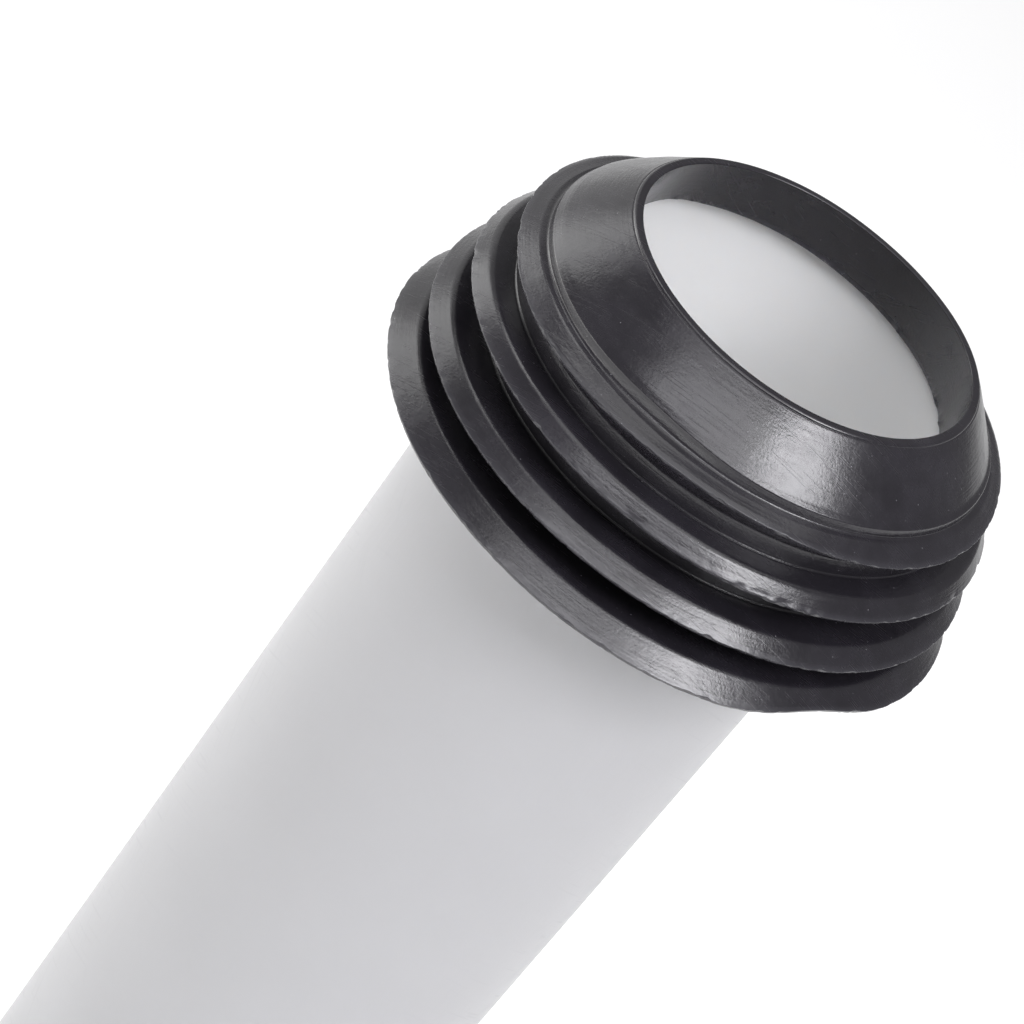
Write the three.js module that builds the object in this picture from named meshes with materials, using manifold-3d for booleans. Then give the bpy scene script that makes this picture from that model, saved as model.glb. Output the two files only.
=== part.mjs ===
// A straight toilet flush pipe, 45 mm across, standing on its cistern end.
//
// At the top a finned rubber seal covers the pipe's end and pushes into the water inlet of the pan.
// At the bottom a screw coupling joins the pipe to the threaded tail of the cistern: a nut that turns
// on a slip ring and squeezes a cone washer between the tail and the pipe.
//
// Units are millimetres. +Z runs up the pipe's axis, and the origin is the centre of the pipe's lower end.

import * as THREE from "three";
import { mergeVertices } from "three/addons/utils/BufferGeometryUtils.js";
import Module from "manifold-3d";

const wasm = await Module();
wasm.setup();

// ---- driving dimensions ----------------------------------------------------------------------------

const SEGMENTS = 60; // sides of every round surface, shared so that coaxial walls run parallel

// pipe
const PIPE_LENGTH = 250;
const PIPE_RADIUS = 22.5;
const PIPE_WALL = 2.2;
const PIPE_LEAD = { length: 4.0, depth: 1.0 }; // outside chamfer at the cistern end
const PIPE_DEBURR = 0.4; // broken edge at the other corners

// pan seal: sizes along the axis are counted down from its mouth
const GRIP_GAP = 0.15; // between a stretched rubber bore and the pipe, as drawn
const SEAL_WALL = 3.15; // rubber round the pipe, between the fins
const MOUTH_INSET = 3.9; // from the pipe's outside in to the mouth's bore
const RIM_WIDTH = 0.95; // width of the mouth's rim
const RIM_ROUND = 0.3;
const PIPE_STOP_DEPTH = 6.1; // mouth to the step that the pipe's end meets
const PIPE_STOP_LIP = 1.15; // how far that step stands into the pipe's bore
const NOSE_BULGE = 0.12; // how far out and up the nose stands from a straight cone
const NOSE_STEP = 0.3; // height of the small step between the nose and the first fin
const FIRST_FIN_DEPTH = 7.75; // mouth to the edge of the first fin
const FIN_PITCH = 5.7;
// each fin, mouth side first: how far it reaches out of the sleeve, the width of the sloping band at its
// edge, and how far that band drops
const FINS = [
  { reach: 1.83, band: 2.1, drop: 1.5 },
  { reach: 3.97, band: 1.3, drop: 1.6 },
  { reach: 5.43, band: 1.8, drop: 1.6 },
  { reach: 6.94, band: 2.4, drop: 2.0 },
];
const FIN_ROOT = 2.0; // thickness where a fin leaves the sleeve
const FIN_EDGE = 0.35; // thickness at the edge
const SLEEVE_TAIL = 1.8; // sleeve below the edge of the last fin
const BORE_RELIEF = 0.5; // extra bore radius between the grip beads
const GRIP_BEADS = { count: 3, length: 2.0, ramp: 0.8 };

// coupling nut: on a 45 mm pipe its thread is a G2
const TAIL_SPACE = 7.307; // from the pipe out to the thread's root, where the cistern's tail goes
const THREAD_DEPTH = 1.479;
const THREAD_PITCH = 2.309;
const THREAD_LENGTH = 10.5;
const THREAD_CREST = 0.5; // width of the thread's crest
const THREAD_FOOT_SHARE = 0.84; // part of the pitch that the ridge's foot takes
const THREAD_BURIED = 0.4; // how far the ridge's foot sits in the nut's wall
const THREAD_RUN_STEPS = 12; // steps over which the ridge grows at its ends
const THREAD_START = 0.25; // turns the ridge by part of a step, clear of the bore's own edges
const THREAD_LEAD = 1.6; // plain mouth of the nut before the thread starts
const NUT_HEIGHT = 27;
const NUT_WALL = 3.2; // outside the thread's root
const NUT_SHOULDER = 3.5; // thickness of the inward flange
const NUT_CLEARANCE = 0.5; // nut and slip ring on the pipe
const NUT_CHAMFER = 1.4;
const RIB_COUNT = 24;
const RIB_HEIGHT = 1.3;
const RIB_SHARE = 0.42; // part of each pitch that a rib's top takes
const RIB_FLANK = 0.08; // part of each pitch that each of its flanks takes

// slip ring and cone washer
const SLIP_RING_THICKNESS = 1.6;
const STACK_GAP = 0.15; // between stacked pieces
const WASHER_SIDE_GAP = 0.33; // inside the thread's crests
const WASHER_BAND = 3.0; // straight part of the cone washer
const WASHER_CONE = 6.5; // length of its taper
const WASHER_TOE = 1.6; // rubber left round the pipe at the thin end

const COLOURS = {
  pipe: { color: 0xe4e3e4, roughness: 0.32 },
  rubber: { color: 0x2b2a2d, roughness: 0.48 },
  nut: { color: 0xe9e9e7, roughness: 0.42 },
  slipRing: { color: 0xd8dcd8, roughness: 0.3 },
};

// ---- helpers ---------------------------------------------------------------------------------------

/** A closed THREE geometry as a manifold solid. */
function solidOf(geometry) {
  const bare = geometry.clone();
  bare.deleteAttribute("normal");
  bare.deleteAttribute("uv");
  const merged = mergeVertices(bare, 1e-4);
  return new wasm.Manifold(
    new wasm.Mesh({
      numProp: 3,
      vertProperties: merged.attributes.position.array,
      triVerts: new Uint32Array(merged.index.array),
    }),
  );
}

/** A manifold solid as a THREE geometry. */
function geometryOf(solid) {
  const { vertProperties, triVerts } = solid.getMesh();
  const geometry = new THREE.BufferGeometry();
  geometry.setAttribute("position", new THREE.BufferAttribute(new Float32Array(vertProperties), 3));
  geometry.setIndex(new THREE.BufferAttribute(new Uint32Array(triVerts), 1));
  geometry.computeVertexNormals();
  return geometry;
}

/** Turns a profile of [radius, height] pairs about +Z. The profile runs anticlockwise, seen with +Z up. */
function revolve(profile) {
  const points = [...profile, profile[0]].map(([r, z]) => new THREE.Vector2(r, z));
  return new THREE.LatheGeometry(points, SEGMENTS).rotateX(Math.PI / 2);
}

/** Points along a quadratic curve from a to b, pulled towards a control point; the ends are included. */
function bend(a, control, b, steps) {
  const curve = new THREE.QuadraticBezierCurve(...[a, control, b].map((p) => new THREE.Vector2(...p)));
  return curve.getPoints(steps).map((p) => [p.x, p.y]);
}

/** A named mesh in one of the object's materials. */
function piece(name, geometry, finish) {
  const mesh = new THREE.Mesh(geometry, new THREE.MeshStandardMaterial({ ...finish, metalness: 0 }));
  mesh.name = name;
  return mesh;
}

// ---- pipe ------------------------------------------------------------------------------------------

function flushPipe() {
  const inside = PIPE_RADIUS - PIPE_WALL;
  const profile = [
    [inside + PIPE_DEBURR, 0],
    [PIPE_RADIUS - PIPE_LEAD.depth, 0],
    [PIPE_RADIUS, PIPE_LEAD.length],
    [PIPE_RADIUS, PIPE_LENGTH - PIPE_DEBURR],
    [PIPE_RADIUS - PIPE_DEBURR, PIPE_LENGTH],
    [inside + PIPE_DEBURR, PIPE_LENGTH],
    [inside, PIPE_LENGTH - PIPE_DEBURR],
    [inside, PIPE_DEBURR],
  ];
  return piece("flush_pipe", revolve(profile), COLOURS.pipe);
}

// ---- pan seal --------------------------------------------------------------------------------------

const MOUTH_RADIUS = PIPE_RADIUS - MOUTH_INSET;
const SEAL_MOUTH_Z = PIPE_LENGTH + STACK_GAP + PIPE_STOP_DEPTH;
const SLEEVE_RADIUS = PIPE_RADIUS + GRIP_GAP + SEAL_WALL;
const SEAL_TAIL_Z = SEAL_MOUTH_Z - FIRST_FIN_DEPTH - (FINS.length - 1) * FIN_PITCH - SLEEVE_TAIL;

/** The main corners of one fin: its edge and the shoulder where its sloping band starts. */
function finCorners(index) {
  const { reach, band, drop } = FINS[index];
  const edge = [SLEEVE_RADIUS + reach, SEAL_MOUTH_Z - FIRST_FIN_DEPTH - index * FIN_PITCH];
  return { edge, shoulder: [edge[0] - band, edge[1] + drop] };
}

/** One fin's outline from its shoulder, round its edge and back to the sleeve below it. */
function finOutline(index) {
  const { edge, shoulder } = finCorners(index);
  const softCorner = [shoulder[0] + FINS[index].band * 0.6, shoulder[1]];
  return [
    ...bend(shoulder, softCorner, edge, 2),
    [edge[0] - FIN_EDGE / 2, edge[1] - FIN_EDGE],
    [SLEEVE_RADIUS, shoulder[1] - FIN_ROOT],
  ];
}

/** The nose: from the rim of the mouth, over a slightly bulging cone, to the small step on the first fin. */
function noseOutline() {
  const rim = MOUTH_RADIUS + RIM_WIDTH;
  const start = [rim, SEAL_MOUTH_Z - RIM_ROUND];
  const { shoulder } = finCorners(0);
  const foot = [shoulder[0], shoulder[1] + NOSE_STEP];
  const middle = [(start[0] + foot[0]) / 2 + NOSE_BULGE * 2, (start[1] + foot[1]) / 2 + NOSE_BULGE * 2];
  return [[rim - RIM_ROUND, SEAL_MOUTH_Z], ...bend(start, middle, foot, 3)];
}

/** The socket that grips the pipe: raised beads on a relieved bore, from the stop down to the tail. */
function socketOutline() {
  const grip = PIPE_RADIUS + GRIP_GAP;
  const relieved = grip + BORE_RELIEF;
  const stopZ = SEAL_MOUTH_Z - PIPE_STOP_DEPTH;
  const pitch = (stopZ - SEAL_TAIL_Z - GRIP_BEADS.length) / (GRIP_BEADS.count - 1);
  const outline = [];
  for (let i = 0; i < GRIP_BEADS.count; i++) {
    const low = SEAL_TAIL_Z + i * pitch;
    const high = low + GRIP_BEADS.length;
    if (i > 0) outline.push([relieved, low - GRIP_BEADS.ramp]);
    outline.push([grip, low], [grip, high]);
    if (i < GRIP_BEADS.count - 1) outline.push([relieved, high + GRIP_BEADS.ramp]);
  }
  return outline;
}

function panSeal() {
  const stopZ = SEAL_MOUTH_Z - PIPE_STOP_DEPTH;
  const outside = noseOutline();
  for (let i = 0; i < FINS.length; i++) {
    if (i > 0) outside.push([SLEEVE_RADIUS, finCorners(i).shoulder[1]]);
    outside.push(...finOutline(i));
  }
  const profile = [
    [PIPE_RADIUS - PIPE_WALL - PIPE_STOP_LIP, stopZ],
    [MOUTH_RADIUS, SEAL_MOUTH_Z - RIM_ROUND],
    [MOUTH_RADIUS + RIM_ROUND, SEAL_MOUTH_Z],
    ...outside,
    [SLEEVE_RADIUS, SEAL_TAIL_Z],
    ...socketOutline(),
  ].reverse();
  return piece("pan_seal", revolve(profile), COLOURS.rubber);
}

// ---- coupling --------------------------------------------------------------------------------------

const THREAD_MAJOR_RADIUS = PIPE_RADIUS + TAIL_SPACE;
const THREAD_MINOR_RADIUS = THREAD_MAJOR_RADIUS - THREAD_DEPTH;
const NUT_OUTSIDE = THREAD_MAJOR_RADIUS + NUT_WALL;
const RING_RADIUS = THREAD_MINOR_RADIUS - WASHER_SIDE_GAP;
const SHOULDER_Z = NUT_HEIGHT - NUT_SHOULDER;
const RING_TOP_Z = SHOULDER_Z - STACK_GAP;
const WASHER_TOP_Z = RING_TOP_Z - SLIP_RING_THICKNESS - STACK_GAP;

/** The nut's plan: a circle with flat-topped grip ribs, whose flanks slope a little. */
function ribbedPlan() {
  const pitch = (2 * Math.PI) / RIB_COUNT;
  const top = [0, RIB_SHARE / 2, RIB_SHARE];
  const valley = [RIB_SHARE + RIB_FLANK, (1 + RIB_SHARE) / 2, 1 - RIB_FLANK];
  const corner = (radius, turn) => new THREE.Vector2(radius * Math.cos(turn), radius * Math.sin(turn));
  const corners = [];
  for (let i = 0; i < RIB_COUNT; i++) {
    for (const share of top) corners.push(corner(NUT_OUTSIDE + RIB_HEIGHT, (i + share) * pitch));
    for (const share of valley) corners.push(corner(NUT_OUTSIDE, (i + share) * pitch));
  }
  return new THREE.Shape(corners);
}

/** A helical ridge inside the nut, from the thread's root in to its crest, with tapered ends. */
function threadRidge() {
  const stepsPerTurn = SEGMENTS / 2;
  const steps = Math.round((THREAD_LENGTH / THREAD_PITCH) * stepsPerTurn);
  const buried = THREAD_MAJOR_RADIUS + THREAD_BURIED;
  const halfFoot = THREAD_PITCH * THREAD_FOOT_SHARE / 2;
  const positions = [];
  for (let i = 0; i <= steps; i++) {
    const angle = ((i + THREAD_START) / stepsPerTurn) * 2 * Math.PI;
    const z = THREAD_LEAD + halfFoot + (i / stepsPerTurn) * THREAD_PITCH;
    const taper = Math.min(1, (i + 1) / THREAD_RUN_STEPS, (steps - i + 1) / THREAD_RUN_STEPS);
    const crest = THREAD_MAJOR_RADIUS - THREAD_DEPTH * taper;
    const section = [
      [buried, z - halfFoot],
      [buried, z + halfFoot],
      [crest, z + (THREAD_CREST / 2) * taper],
      [crest, z - (THREAD_CREST / 2) * taper],
    ];
    for (const [r, h] of section) positions.push(r * Math.cos(angle), r * Math.sin(angle), h);
  }
  const index = [];
  for (let i = 0; i < steps; i++) {
    for (let k = 0; k < 4; k++) {
      const [a, b] = [i * 4 + k, i * 4 + ((k + 1) % 4)];
      index.push(a, b + 4, b, a, a + 4, b + 4);
    }
  }
  const last = steps * 4;
  index.push(0, 1, 2, 0, 2, 3, last, last + 2, last + 1, last, last + 3, last + 2);
  const geometry = new THREE.BufferGeometry();
  geometry.setAttribute("position", new THREE.Float32BufferAttribute(positions, 3));
  geometry.setIndex(index);
  return geometry;
}

function couplingNut() {
  const blank = new THREE.ExtrudeGeometry(ribbedPlan(), { depth: NUT_HEIGHT, bevelEnabled: false });
  const outer = NUT_OUTSIDE + RIB_HEIGHT;
  const envelope = revolve([
    [0, 0],
    [outer - NUT_CHAMFER, 0],
    [outer + 0.1, NUT_CHAMFER],
    [outer + 0.1, NUT_HEIGHT - NUT_CHAMFER * 1.5],
    [outer - NUT_CHAMFER * 1.5, NUT_HEIGHT],
    [0, NUT_HEIGHT],
  ]);
  const hollow = revolve([
    [0, -1],
    [THREAD_MAJOR_RADIUS + 1, -1],
    [THREAD_MAJOR_RADIUS, THREAD_LEAD / 2],
    [THREAD_MAJOR_RADIUS, SHOULDER_Z],
    [PIPE_RADIUS + NUT_CLEARANCE, SHOULDER_Z],
    [PIPE_RADIUS + NUT_CLEARANCE, NUT_HEIGHT + 1],
    [0, NUT_HEIGHT + 1],
  ]);
  const shell = solidOf(blank).intersect(solidOf(envelope)).subtract(solidOf(hollow));
  return piece("coupling_nut", geometryOf(shell.add(solidOf(threadRidge()))), COLOURS.nut);
}

function slipRing() {
  const bore = PIPE_RADIUS + NUT_CLEARANCE;
  const profile = [
    [bore, RING_TOP_Z - SLIP_RING_THICKNESS],
    [RING_RADIUS, RING_TOP_Z - SLIP_RING_THICKNESS],
    [RING_RADIUS, RING_TOP_Z],
    [bore, RING_TOP_Z],
  ];
  return piece("slip_ring", revolve(profile), COLOURS.slipRing);
}

function coneWasher() {
  const bore = PIPE_RADIUS + GRIP_GAP;
  const toeZ = WASHER_TOP_Z - WASHER_BAND - WASHER_CONE;
  const profile = [
    [bore, toeZ],
    [bore + WASHER_TOE, toeZ],
    [RING_RADIUS, WASHER_TOP_Z - WASHER_BAND],
    [RING_RADIUS, WASHER_TOP_Z],
    [bore, WASHER_TOP_Z],
  ];
  return piece("cone_washer", revolve(profile), COLOURS.rubber);
}

// ---- assembly --------------------------------------------------------------------------------------

const flushPipeAssembly = new THREE.Group();
flushPipeAssembly.add(flushPipe(), panSeal(), couplingNut(), slipRing(), coneWasher());

export default flushPipeAssembly;
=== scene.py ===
"""The looks of a toilet flush pipe with a finned rubber pan seal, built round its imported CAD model.

The pipe stands on its cistern end with its axis on +Z. Every piece is round about that axis, so each one
is an outline of rounded corners that Geometry Nodes turn into a closed shell, and then pull about: the
seal's fins sway and have ragged edges, and the nut gets its grip ribs and its thread.

Sizes in the classes are in millimetres, and the meshes are in metres.
"""

from __future__ import annotations

import logging
import math
from abc import ABC, abstractmethod
from collections.abc import Callable, Iterator, Sequence
from dataclasses import dataclass, field
from enum import Enum
from functools import partial
from typing import Any

import bpy
from mathutils import Matrix, Vector

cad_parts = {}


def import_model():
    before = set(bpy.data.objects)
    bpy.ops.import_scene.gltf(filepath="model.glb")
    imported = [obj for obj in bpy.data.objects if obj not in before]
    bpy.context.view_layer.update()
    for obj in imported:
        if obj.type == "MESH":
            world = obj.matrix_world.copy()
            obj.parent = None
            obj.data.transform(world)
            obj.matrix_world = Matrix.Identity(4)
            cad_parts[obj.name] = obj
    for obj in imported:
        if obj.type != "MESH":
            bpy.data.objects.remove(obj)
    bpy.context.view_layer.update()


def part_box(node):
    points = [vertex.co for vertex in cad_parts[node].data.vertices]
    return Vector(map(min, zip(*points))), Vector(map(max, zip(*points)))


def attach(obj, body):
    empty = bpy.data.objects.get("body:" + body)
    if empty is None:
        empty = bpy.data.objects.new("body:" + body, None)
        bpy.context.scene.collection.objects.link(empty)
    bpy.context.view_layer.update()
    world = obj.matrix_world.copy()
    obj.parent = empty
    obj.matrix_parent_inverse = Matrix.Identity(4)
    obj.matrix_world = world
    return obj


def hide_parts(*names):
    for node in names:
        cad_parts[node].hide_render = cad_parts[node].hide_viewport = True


log = logging.getLogger("flush_pipe")

Socket = bpy.types.NodeSocket

MM = 0.001
TURN = 2 * math.pi
STRAIGHT = 1e-3  # a turn, in radians, that needs no rounding
WELD = 1e-3 * MM  # points closer than this are one point
RUBBER_GAP = 0.15  # in millimetres, between the pipe and the rubber that grips it
LOOSE_GAP = 0.5  # in millimetres, between the pipe and what slides on it


# ---- nodes ----


def add(
    tree: bpy.types.NodeTree,
    kind: str,
    inputs: dict[int | str, Any] | None = None,
    **settings: Any,
) -> bpy.types.Node:
    """Adds a node with its settings, values and links.

    Args:
        tree: the node tree that it goes into.
        kind: the node's type.
        inputs: a value or another node's socket for each input, by name or number.
        **settings: the node's own properties.

    Returns:
        The new node.
    """
    node = tree.nodes.new(kind)
    for name, value in settings.items():
        setattr(node, name, value)
    give(node, inputs or {})
    return node


def give(node: bpy.types.Node, inputs: dict[int | str, Any]) -> None:
    """Sets or links a node's inputs.

    Args:
        node: the node.
        inputs: a value or another node's socket for each input, by name or number.
    """
    for key, value in inputs.items():
        if isinstance(value, Socket):
            node.id_data.links.new(value, node.inputs[key])
        else:
            node.inputs[key].default_value = value


def reckon(tree: bpy.types.NodeTree, way: str, *terms: Socket | float) -> Socket:
    """One step of arithmetic on up to three terms."""
    return add(tree, "ShaderNodeMath", dict(enumerate(terms)), operation=way).outputs[0]


def linear(colour: str) -> tuple[float, float, float, float]:
    """Turns an sRGB hex colour into the linear colour that shaders take.

    Args:
        colour: a colour such as "#2b2b2e".

    Returns:
        Linear red, green and blue, and full alpha.
    """
    parts = [int(colour[i : i + 2], 16) / 255 for i in (1, 3, 5)]
    red, green, blue = (c / 12.92 if c <= 0.04045 else ((c + 0.055) / 1.055) ** 2.4 for c in parts)
    return red, green, blue, 1.0


# ---- outlines ----


@dataclass(frozen=True)
class Corner:
    """A corner of a turned outline: radius, height, rounding, and the longest step to the next corner."""

    r: float
    z: float
    rounding: float = 0.0
    step: float = 2.5


@dataclass(frozen=True)
class Outline:
    """A closed outline of corners, running anticlockwise with the axis on its left and +Z up."""

    corners: Sequence[Corner]
    hold: float = 0.07  # a point this close to each rounding keeps the flat beside it flat
    arc_step: float = math.radians(16)

    def points(self) -> list[Vector]:
        """Rounds the corners and divides the stretches between them.

        Returns:
            Points of radius and height, in order, with no point twice.
        """
        arcs = [self._arc(i) for i in range(len(self.corners))]
        points: list[Vector] = []
        for i, arc in enumerate(arcs):
            points += arc
            points += self._stretch(arc[-1], arcs[(i + 1) % len(arcs)][0], self.corners[i].step)
        return points

    def _arc(self, i: int) -> list[Vector]:
        """Rounds one corner.

        Args:
            i: the corner's number.

        Returns:
            The points of its rounding, or the corner itself if it is sharp.
        """
        corner = self.corners[i]
        here = Vector((corner.r, corner.z))
        before, after = self.corners[i - 1], self.corners[(i + 1) % len(self.corners)]
        back = (Vector((before.r, before.z)) - here).normalized()
        ahead = (Vector((after.r, after.z)) - here).normalized()
        turn = math.pi - back.angle(ahead)
        if corner.rounding == 0 or turn < STRAIGHT:
            return [here]
        setback = corner.rounding * math.tan(turn / 2)
        centre = here + (back + ahead).normalized() * math.hypot(setback, corner.rounding)
        start, end = here + back * setback - centre, here + ahead * setback - centre
        count = max(2, math.ceil(turn / self.arc_step))
        sweep = start.angle_signed(end)
        return [centre + Matrix.Rotation(-sweep * k / count, 2) @ start for k in range(count + 1)]

    def _stretch(self, start: Vector, end: Vector, step: float) -> list[Vector]:
        """Divides a straight stretch, with a point close to each end.

        Args:
            start: the last point of the rounding before it.
            end: the first point of the rounding after it.
            step: the longest distance between two points.

        Returns:
            The points between the two, without them.
        """
        length = (end - start).length
        if length < 4 * self.hold:
            return [(start + end) / 2] if length > step else []
        inner = length - 2 * self.hold
        count = max(1, math.ceil(inner / step))
        return [start.lerp(end, (self.hold + inner * k / count) / length) for k in range(count + 1)]


# ---- turned pieces ----


@dataclass(frozen=True)
class Around:
    """The sockets that a turned piece's relief works with, at each point of its shell."""

    tree: bpy.types.NodeTree
    angle: Socket  # about +Z from +X, in radians
    radius: Socket  # in millimetres
    height: Socket  # in millimetres
    value: Callable[[str], Socket]  # a number that the outline carries
    setting: Callable[[str], Socket]  # a named input of the tree

    def rise(self, value: Socket, low: Socket | float, high: Socket | float, ease: str = "LINEAR") -> Socket:
        """0 at low and 1 at high, held beyond them."""
        wanted = {"Value": value, "From Min": low, "From Max": high}
        return add(self.tree, "ShaderNodeMapRange", wanted, interpolation_type=ease).outputs[0]


class TurnedPiece(ABC):
    """A piece turned about the pipe's axis from a closed outline, with or without relief on it."""

    name: str
    stands_for: str
    body: str
    slot: str
    segments: int = 256
    settings: dict[str, tuple[str, float]] = {}
    painted: tuple[str, ...] = ()  # the numbers that the finish reads too

    @abstractmethod
    def outline(self) -> Outline:
        """The piece's outline, in millimetres."""

    @abstractmethod
    def material(self) -> bpy.types.Material:
        """The piece's finish."""

    def carried(self, point: Vector) -> dict[str, float]:
        """Numbers that the relief and the material read at a point of the outline."""
        return {}

    def relief(self, at: Around) -> tuple[Socket, Socket | float] | None:
        """How far each point moves out and up, in millimetres, or None for a plain shell."""
        return None

    def build(self) -> bpy.types.Object:
        """Builds the piece, dresses it and puts it on its body.

        Returns:
            The finished object.
        """
        profile = self._profile()
        modifier = profile.modifiers.new("turn", "NODES")
        modifier.node_group = self._tree()
        values = {label: value for label, (_, value) in self.settings.items()}
        values.update({"Segments": self.segments, "Finish": self.material()})
        for socket in modifier.node_group.interface.items_tree:
            if socket.name in values:
                modifier[socket.identifier] = values[socket.name]
        graph = bpy.context.evaluated_depsgraph_get()
        mesh = bpy.data.meshes.new_from_object(profile.evaluated_get(graph))
        bpy.data.objects.remove(profile)
        mesh.name = self.name
        piece = bpy.data.objects.new(self.name, mesh)
        bpy.context.scene.collection.objects.link(piece)
        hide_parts(self.stands_for)
        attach(piece, self.body)
        log.info("%s: %d faces on body %s", self.name, len(mesh.polygons), self.body)
        return piece

    def _profile(self) -> bpy.types.Object:
        """Makes the outline that the nodes turn.

        Returns:
            Loose points that carry the piece's numbers.
        """
        points = self.outline().points()
        mesh = bpy.data.meshes.new(f"{self.name}_outline")
        mesh.from_pydata([(p.x, 0.0, p.y) for p in points], [], [])
        carried = [self.carried(p) for p in points]
        for key in carried[0]:
            layer = mesh.attributes.new(key, "FLOAT", "POINT")
            layer.data.foreach_set("value", [numbers[key] for numbers in carried])
        profile = bpy.data.objects.new(f"{self.name}_outline", mesh)
        bpy.context.scene.collection.objects.link(profile)
        return profile

    def _tree(self) -> bpy.types.NodeTree:
        """Wraps a grid round the axis, row by row along the outline.

        Returns:
            The Geometry Nodes, from the outline's points to the finished shell.
        """
        tree = bpy.data.node_groups.new(f"turn {self.name}", "GeometryNodeTree")
        calc = partial(reckon, tree)
        taken = {"Outline": "NodeSocketGeometry", "Segments": "NodeSocketInt", "Finish": "NodeSocketMaterial"}
        taken.update({label: kind for label, (kind, _) in self.settings.items()})
        for label, kind in taken.items():
            tree.interface.new_socket(label, in_out="INPUT", socket_type=kind)
        tree.interface.new_socket("Shell", in_out="OUTPUT", socket_type="NodeSocketGeometry")
        given = tree.nodes.new("NodeGroupInput").outputs

        size = add(tree, "GeometryNodeAttributeDomainSize", {"Geometry": given["Outline"]})
        rows = size.outputs["Point Count"]
        vertices = {"Vertices X": calc("ADD", given["Segments"], 1.0), "Vertices Y": calc("ADD", rows, 1.0)}
        grid = add(tree, "GeometryNodeMeshGrid", {"Size X": 1.0, "Size Y": 1.0, **vertices})
        half = 0.5  # the grid is 1 across and centred
        where = add(tree, "GeometryNodeInputPosition").outputs[0]
        place = add(tree, "ShaderNodeSeparateXYZ", {0: where})
        angle = calc("MULTIPLY", calc("ADD", place.outputs["X"], half), TURN)
        row = calc("MULTIPLY", calc("ADD", place.outputs["Y"], half), rows)
        row = calc("MODULO", calc("ROUND", row), rows)

        def sampled(value: Socket, data_type: str) -> Socket:
            """The outline's value at this point's row."""
            wanted = {"Geometry": given["Outline"], "Value": value, "Index": row}
            return add(tree, "GeometryNodeSampleIndex", wanted, data_type=data_type).outputs[0]

        def carried(key: str) -> Socket:
            """A number that the outline's points carry."""
            named = add(tree, "GeometryNodeInputNamedAttribute", {"Name": key}, data_type="FLOAT")
            return sampled(named.outputs["Attribute"], "FLOAT")

        spot = add(tree, "ShaderNodeSeparateXYZ", {0: sampled(where, "FLOAT_VECTOR")})
        radius, height = spot.outputs["X"], spot.outputs["Z"]
        moved = self.relief(Around(tree, angle, radius, height, carried, lambda label: given[label]))
        if moved:
            radius, height = calc("ADD", radius, moved[0]), calc("ADD", height, moved[1])

        shell = grid.outputs["Mesh"]
        for key in self.painted:
            stored = {"Geometry": shell, "Name": key, "Value": carried(key)}
            node = add(tree, "GeometryNodeStoreNamedAttribute", stored, data_type="FLOAT", domain="POINT")
            shell = node.outputs[0]
        x, y = (calc("MULTIPLY", radius, calc(way, angle)) for way in ("COSINE", "SINE"))
        wrapped = add(tree, "ShaderNodeCombineXYZ", {"X": x, "Y": y, "Z": height}).outputs[0]
        metres = add(tree, "ShaderNodeVectorMath", {0: wrapped, "Scale": MM}, operation="SCALE").outputs[0]
        steps: tuple[tuple[str, dict[str, Any]], ...] = (
            ("SetPosition", {"Position": metres}),
            ("MergeByDistance", {"Distance": WELD}),
            ("SetShadeSmooth", {}),
            ("RealizeInstances", {}),
            ("SetMaterial", {"Material": given["Finish"]}),
        )
        for step, wanted in steps:
            shell = add(tree, f"GeometryNode{step}", {"Geometry": shell, **wanted}).outputs[0]
        add(tree, "NodeGroupOutput", {0: shell})
        return tree


# ---- finishes ----


class Bands(Enum):
    """Which way the fine marks of a finish run."""

    ROUND = "round the axis"
    ALONG = "along the axis"


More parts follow.
